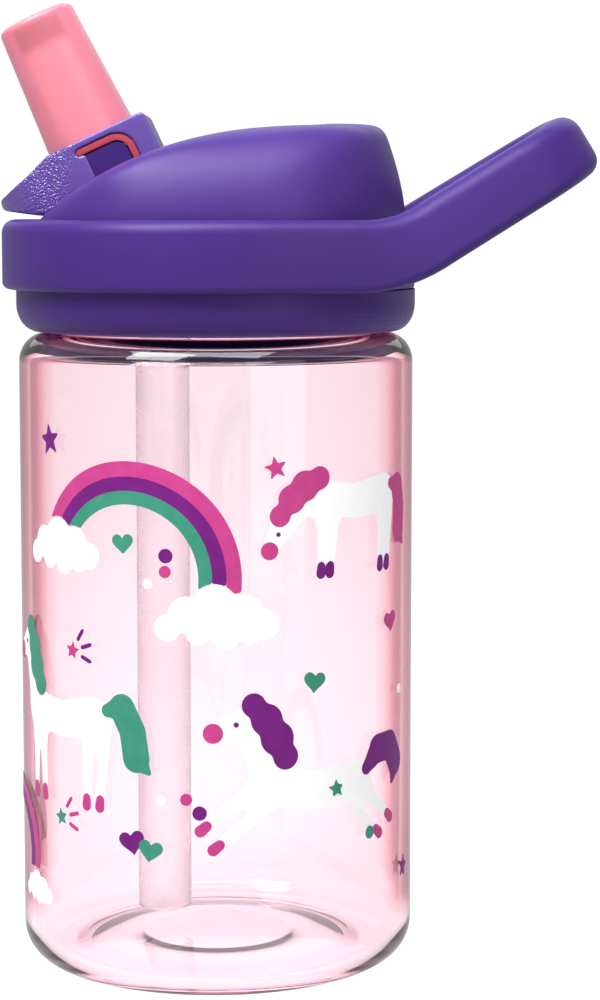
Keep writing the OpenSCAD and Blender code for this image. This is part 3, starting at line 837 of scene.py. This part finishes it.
def cloud(g, s, h, width):
    """A puffy cloud on a nearly flat base."""
    k = width / 26
    lobes = [(-10, 1.6, 2.6), (-6.2, 4.2, 3.6), (-0.8, 5.6, 4.4), (4.8, 4.4, 3.9), (9, 2.2, 3),
             (-4, 0.8, 2.4), (1.4, 0.4, 2.8), (6, 0.6, 2.2)]
    return blend([disc(g, s + a * k, h + b * k, r * k) for a, b, r in lobes], 0.5)


def bow(g, s, h, inner, outer, left, right):
    """One band of a rainbow about (s, h), from radius inner to outer, between two foot heights."""
    across = np.hypot(g[0] - s, g[1] - h)
    band = np.abs(across - (inner + outer) / 2) - (outer - inner) / 2
    cut = np.where(g[0] < s, left - g[1], right - g[1])
    return np.maximum(band, cut)


# A toy pony, one unit long from chest to rump, as strokes of [s, h] points with a radius at each.
# The three poses differ in where the head, neck and legs go.
PONY_TRUNK = ([(-0.5, 0.02), (0, -0.04), (0.5, 0.02)], [0.2, 0.19, 0.22])
STANDING = {
    "neck": ([(-0.52, 0.1), (-0.66, 0.42), (-0.72, 0.66)], [0.17, 0.12, 0.12]),
    "head": ([(-0.74, 0.7), (-1.02, 0.56)], [0.14, 0.085]),
    "ear": ([(-0.68, 0.78), (-0.63, 0.93)], [0.06, 0.02]),
    "legs": [[(-0.5, 0), (-0.52, -0.45), (-0.52, -0.84)], [(-0.36, 0), (-0.34, -0.45), (-0.32, -0.84)],
             [(0.44, 0), (0.42, -0.42), (0.4, -0.84)], [(0.6, 0), (0.62, -0.42), (0.58, -0.84)]],
    "mane": [(-0.66, 0.86), (-0.56, 0.66), (-0.5, 0.46), (-0.4, 0.28)],
    "tail": [(0.68, 0.12), (0.86, 0.16), (0.98, -0.08), (1.02, -0.36), (1.16, -0.5)],
    "eye": (-0.8, 0.68),
}
GRAZING = {
    "neck": ([(-0.52, 0.06), (-0.76, -0.1), (-0.94, -0.28)], [0.16, 0.12, 0.1]),
    "head": ([(-0.98, -0.3), (-1.1, -0.54)], [0.12, 0.08]),
    "ear": ([(-1, -0.2), (-1.12, -0.1)], [0.05, 0.02]),
    "legs": [[(-0.46, 0), (-0.46, -0.4), (-0.48, -0.74)], [(-0.34, 0), (-0.32, -0.4), (-0.36, -0.74)],
             [(0.46, 0), (0.46, -0.4), (0.44, -0.74)], [(0.6, 0), (0.62, -0.4), (0.58, -0.74)]],
    "mane": [(-0.98, -0.16), (-0.84, 0.02), (-0.68, 0.16), (-0.5, 0.24)],
    "tail": [(0.68, 0.1), (0.84, 0.06), (0.9, -0.18), (0.88, -0.44), (1, -0.6)],
    "eye": (-1.0, -0.36),
}
TROTTING = {
    "neck": ([(-0.5, 0.12), (-0.66, 0.4), (-0.78, 0.58)], [0.17, 0.13, 0.12]),
    "head": ([(-0.8, 0.62), (-1.08, 0.5)], [0.14, 0.09]),
    "ear": ([(-0.72, 0.7), (-0.66, 0.86)], [0.06, 0.02]),
    "legs": [[(-0.52, -0.02), (-0.86, -0.2), (-1.08, -0.42)], [(-0.44, -0.04), (-0.66, -0.34), (-0.94, -0.6)],
             [(0.48, -0.04), (0.62, -0.34), (0.86, -0.5)], [(0.6, 0), (0.82, -0.2), (1.06, -0.36)]],
    "mane": [(-0.7, 0.8), (-0.56, 0.66), (-0.44, 0.48), (-0.34, 0.3)],
    "tail": [(0.66, 0.14), (0.84, 0.32), (1.06, 0.34), (1.2, 0.16), (1.14, -0.04)],
    "eye": (-0.86, 0.6),
}


def pony(g, pose, s, h, size, turn=0):
    """The parts of a toy pony: coat, mane, tail, hooves, muzzle and eye."""
    c, k = math.cos(math.radians(turn)), math.sin(math.radians(turn))

    def at(p):
        return (s + size * (p[0] * c - p[1] * k), h + size * (p[0] * k + p[1] * c))

    def drawn(points, radii):
        return stroke(g, [at(p) for p in points], [size * r for r in radii])

    legs = [drawn(points, (0.13, 0.065, 0.05)) for points in pose["legs"]]
    trunk = [drawn(*PONY_TRUNK), drawn(*pose["neck"]), drawn(*pose["head"])]
    coat = np.minimum(blend(trunk + legs, size * 0.09), drawn(*pose["ear"]))
    hooves = []
    for points in pose["legs"]:
        (s0, h0), (s1, h1) = points[1], points[2]
        far = math.hypot(s1 - s0, h1 - h0)
        toe = (s1 + 0.08 * (s1 - s0) / far, h1 + 0.08 * (h1 - h0) / far)
        hooves.append(drawn([points[2], toe], (0.052, 0.06)))
    curls = [disc(g, *at(p), size * r) for p, r in zip(pose["mane"], (0.12, 0.16, 0.17, 0.13))]
    tail = drawn(pose["tail"], [0.07] + [0.15] * (len(pose["tail"]) - 2) + [0.03])
    nose = pose["head"][0][1]
    return {"coat": coat, "mane": blend(curls, size * 0.05), "tail": tail,
            "hooves": np.minimum.reduce(hooves), "muzzle": disc(g, *at(nose), size * 0.1),
            "eye": disc(g, *at(pose["eye"]), size * 0.028)}


def make_print(inks):
    """Draws the four inks and wraps their films on the barrel. White goes on first."""
    count_s = int(2 * PRINT_HALF_S / PRINT_STEP)
    count_h = int((PRINT_Z[1] - PRINT_Z[0]) / PRINT_STEP)
    s_line = np.linspace(-PRINT_HALF_S, PRINT_HALF_S, count_s + 1)
    h_line = np.linspace(PRINT_Z[0], PRINT_Z[1], count_h + 1)
    g = np.meshgrid(s_line, h_line)
    at = at_angle

    grazing = pony(g, GRAZING, at(44), 89.5, 16)
    standing = pony(g, STANDING, at(-48.5), 50, 17)
    trotting = pony(g, TROTTING, at(30), 38.5, 18, -4)

    bow_s, bow_h = -15, 76
    arch = {"pink": bow(g, bow_s, bow_h, 17.8, 20.5, 80, 70), "purple": bow(g, bow_s, bow_h, 15.3, 17.8, 80, 70),
            "green": bow(g, bow_s, bow_h, 12.9, 15.3, 80, 70)}
    low_s, low_h = at(-82), 22
    small = {"pink": bow(g, low_s, low_h, 11, 13.4, 20, 20), "purple": bow(g, low_s, low_h, 9, 11, 20, 20)}
    clouds = [cloud(g, at(-48), 77.5, 21), cloud(g, at(2.2), 66, 23.5), cloud(g, at(-63), 14.5, 13)]

    forms = {
        "white": clouds + [grazing["coat"], standing["coat"], trotting["coat"], disc(g, at(-17.6), 75.1, 0.9),
                           disc(g, at(-14), 36.8, 0.8), disc(g, at(56.8), 30.5, 0.8),
                           disc(g, at(67.2), 52.9, 0.9)],
        "pink": [arch["pink"], small["pink"], grazing["mane"], grazing["tail"], trotting["muzzle"],
                 star(g, at(18.2), 95.4, 2.3, 12), star(g, at(-43), 62, 1.9, -8), heart(g, at(60.8), 66.1, 4.4, 8),
                 disc(g, at(-12.6), 77.3, 1.1), disc(g, at(-6.9), 37, 1.1), rays(g, at(-48.4), 31.3, -22),
                 grazing["muzzle"], standing["muzzle"], trotting["hooves"], standing["hooves"]],
        "purple": [arch["purple"], small["purple"], trotting["mane"], trotting["tail"], grazing["hooves"],
                   star(g, at(-52.6), 99.3, 3.2, 8), star(g, at(71.1), 19.2, 2.6, -10), rays(g, at(-43), 62, -20),
                   heart(g, at(-22.7), 28.9, 5, 12), disc(g, at(-12.4), 80.1, 1.3), disc(g, at(-3.2), 34.6, 1.3),
                   grazing["eye"], standing["eye"], trotting["eye"]],
        "green": [arch["green"], standing["mane"], standing["tail"], heart(g, at(-25), 82.1, 4.2, 4),
                  heart(g, at(-17.2), 27.6, 4.6, -10), heart(g, at(29.8), 57.3, 4.4, -6),
                  star(g, at(37.2), 37.5, 1.9, 6), star(g, at(-48.4), 31.3, 1.9, 10),
                  disc(g, at(50.3), 28.2, 1.2)],
    }
    over = np.minimum.reduce(clouds)
    for level, colour in enumerate(("white", "pink", "purple", "green")):
        field = np.minimum.reduce(forms[colour])
        if colour != "white":
            field = np.maximum(field, CLOUD_GAP - over)
        make_ink("print_" + colour, field, count_s, count_h, FILM_LIFT + FILM_LIFT * level, inks[colour])


def make_ink(name, field, count_s, count_h, lift, material):
    """A grid is raised by the field, bisected level and emptied above, which leaves the drawn shape;
    the shape is then wrapped round the barrel and given a film's thickness."""
    deselect()
    bpy.ops.mesh.primitive_grid_add(x_subdivisions=count_s, y_subdivisions=count_h, size=1)
    film = named(name)
    co = np.empty(len(film.data.vertices) * 3, np.float32)
    film.data.vertices.foreach_get("co", co)
    co = co.reshape(-1, 3)
    column = np.rint((co[:, 0] + 0.5) * count_s).astype(int)
    row = np.rint((co[:, 1] + 0.5) * count_h).astype(int)
    co[:, 0] = 2 * PRINT_HALF_S * MM * co[:, 0]
    co[:, 1] = (PRINT_Z[0] + (PRINT_Z[1] - PRINT_Z[0]) * (co[:, 1] + 0.5)) * MM
    co[:, 2] = np.clip(field, -1, 1)[row, column] * MM
    film.data.vertices.foreach_set("co", co.ravel())
    bpy.ops.object.mode_set(mode="EDIT")
    bpy.ops.mesh.select_all(action="SELECT")
    bpy.ops.mesh.bisect(plane_co=(0, 0, 0), plane_no=(0, 0, 1), clear_outer=True, threshold=0.0001 * MM)
    bpy.ops.mesh.select_all(action="SELECT")
    bpy.ops.mesh.remove_doubles(threshold=0.02 * MM)
    bpy.ops.object.mode_set(mode="OBJECT")
    co = np.empty(len(film.data.vertices) * 3, np.float32)
    film.data.vertices.foreach_get("co", co)
    co = co.reshape(-1, 3)
    a = co[:, 0] / (BARREL_R * MM)
    r = (BARREL_R + lift) * MM
    wrapped = np.stack([r * np.sin(a), -r * np.cos(a), co[:, 1]], axis=1)
    film.data.vertices.foreach_set("co", wrapped.ravel())
    film.data.update()
    modify(film, "SOLIDIFY", thickness=FILM_T * MM, offset=1)
    finish_piece(film, material, "bottle", "bottle")


# ---------------------------------------------------------------- the scene

add_camera()
add_floor()
add_light("key_softbox", (-370, -430, 740), (0, 0, 120), (420, 420), 5.8)
add_light("overhead_softbox", (-30, -130, 400), (-5, -5, 140), (360, 190), 1.4)
add_light("fill_softbox", (500, -650, 260), (0, 0, 80), (500, 700), 1.15)
add_light("back_softbox", (0, 600, 500), (0, 0, 100), (900, 500), 1)

bpy.context.scene.view_settings.view_transform = "Standard"
world = bpy.data.worlds.new("studio")
bpy.context.scene.world = world
world.use_nodes = True
world.node_tree.nodes["Background"].inputs["Color"].default_value = (1, 1, 1, 1)
world.node_tree.links.new(seen_level(world.node_tree, STAGE_CAST, WORLD_SEEN),
                          world.node_tree.nodes["Background"].inputs["Strength"])

lid_plastic = moulded_polypropylene("moulded_polypropylene", "#371d6b", "#3b2070", 0.35, 0.03, 0.42)
# The dome is the lid's own plastic in a lighter colour: painted light for what its flanks catch from the softboxes
# above.
dome_plastic_painted_lighter = moulded_polypropylene("dome_polypropylene_painted_lighter", "#3e2572", "#422977", 0.35, 0.04, 0.42)
# The carrier is the lid's plastic as well; its lighter colour is a painted highlight over the real pebbled grain.
grip_plastic_painted_lighter = grained_polypropylene("pebbled_polypropylene_painted_lighter", "#4f3388", "#553990", 0.42, -26)
core_plastic = moulded_polypropylene("polished_polypropylene", "#331a62", "#3a2069", 0.6, 0.01, 0.16)
bottle_plastic = clear_plastic("clear_copolyester",
                               ((0, "#fef7fa"), (0.5, "#fdedf1"), (0.64, "#eb9cab"), (0.74, "#a5485c"),
                                (0.84, "#6a1230"), (1, "#4a0a22")), 0.015, 1.54, 22, 0.03, ("#f752a3", 24))
straw_plastic = clear_plastic("clear_polypropylene", ((0, "#fffdfe"), (0.6, "#fdf3f6"), (1, "#eec9d0")),
                              0.2, 1.42, 9, 0.02)
# The spout's last two colours are a painted lighter band over its bore and painted shade under the bore's roof.
mouth_rubber = silicone("translucent_silicone", "#cf7789", "#d37c8e", 0.9, 1, 0.34, ("#d8818f", "#a75c68"))
seal_rubber = silicone("red_silicone", "#a83c4a", "#b04450", 0.8, 0.2, 0.45)
white_rubber = silicone("white_silicone", "#dcd6da", "#e8e3e6", 0.8, 0.2, 0.5)
inks = {"white": print_ink("white_enamel_ink", "#faf9fa", "#fefdfe"),
        "pink": print_ink("pink_enamel_ink", "#b93a7f", "#c04286"),
        "purple": print_ink("purple_enamel_ink", "#691470", "#711a79"),
        "green": print_ink("green_enamel_ink", "#36876f", "#3d8f77")}

for name, material in (("cap_base", lid_plastic), ("pivot_drum", core_plastic), ("lid_seal", white_rubber),
                       ("port_seal", white_rubber), ("vent_valve", white_rubber)):
    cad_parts[name].data.materials.clear()
    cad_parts[name].data.materials.append(material)

make_bottle(bottle_plastic)
make_straw(straw_plastic)
make_print(inks)
make_carry_ring(lid_plastic)
make_dome(dome_plastic_painted_lighter)
make_pod(grip_plastic_painted_lighter)
make_window_seal(seal_rubber)
make_mouthpiece(mouth_rubber)
